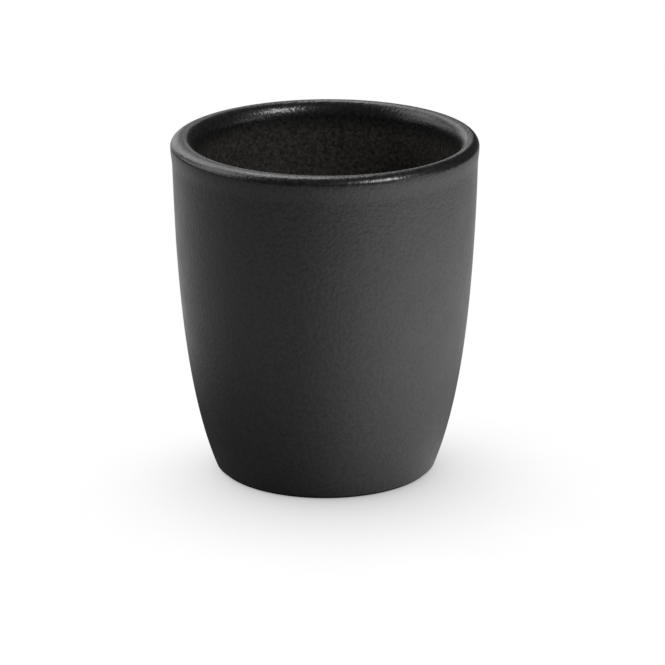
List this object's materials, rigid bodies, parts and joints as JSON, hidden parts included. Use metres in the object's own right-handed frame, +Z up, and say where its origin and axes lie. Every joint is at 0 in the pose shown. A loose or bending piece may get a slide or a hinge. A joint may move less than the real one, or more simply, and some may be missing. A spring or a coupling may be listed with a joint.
{
  "type": "espresso cup",
  "caption": "Handleless espresso cup in satin black glazed stoneware, with a rounded lip, a wall that tapers in a smooth curve to the base, and a bare clay foot ring to stand on.",
  "frame": {"origin": "middle of the foot ring, on the surface that the cup stands on", "axes": "+Z up along the axis that the cup is turned on; +X and +Y are any two level directions, because the cup is round"},
  "size_m": [0.06, 0.06, 0.0671],
  "materials": {
    "dark_stoneware": "matte",
    "liner_glaze": "satin",
    "outer_glaze": "satin",
    "base_glaze": "satin"
  },
  "bodies": {
    "root": {"stoneware_body": "dark_stoneware", "liner_glaze": "liner_glaze", "outer_glaze": "outer_glaze", "base_glaze": "base_glaze"}
  },
  "joints": []
}
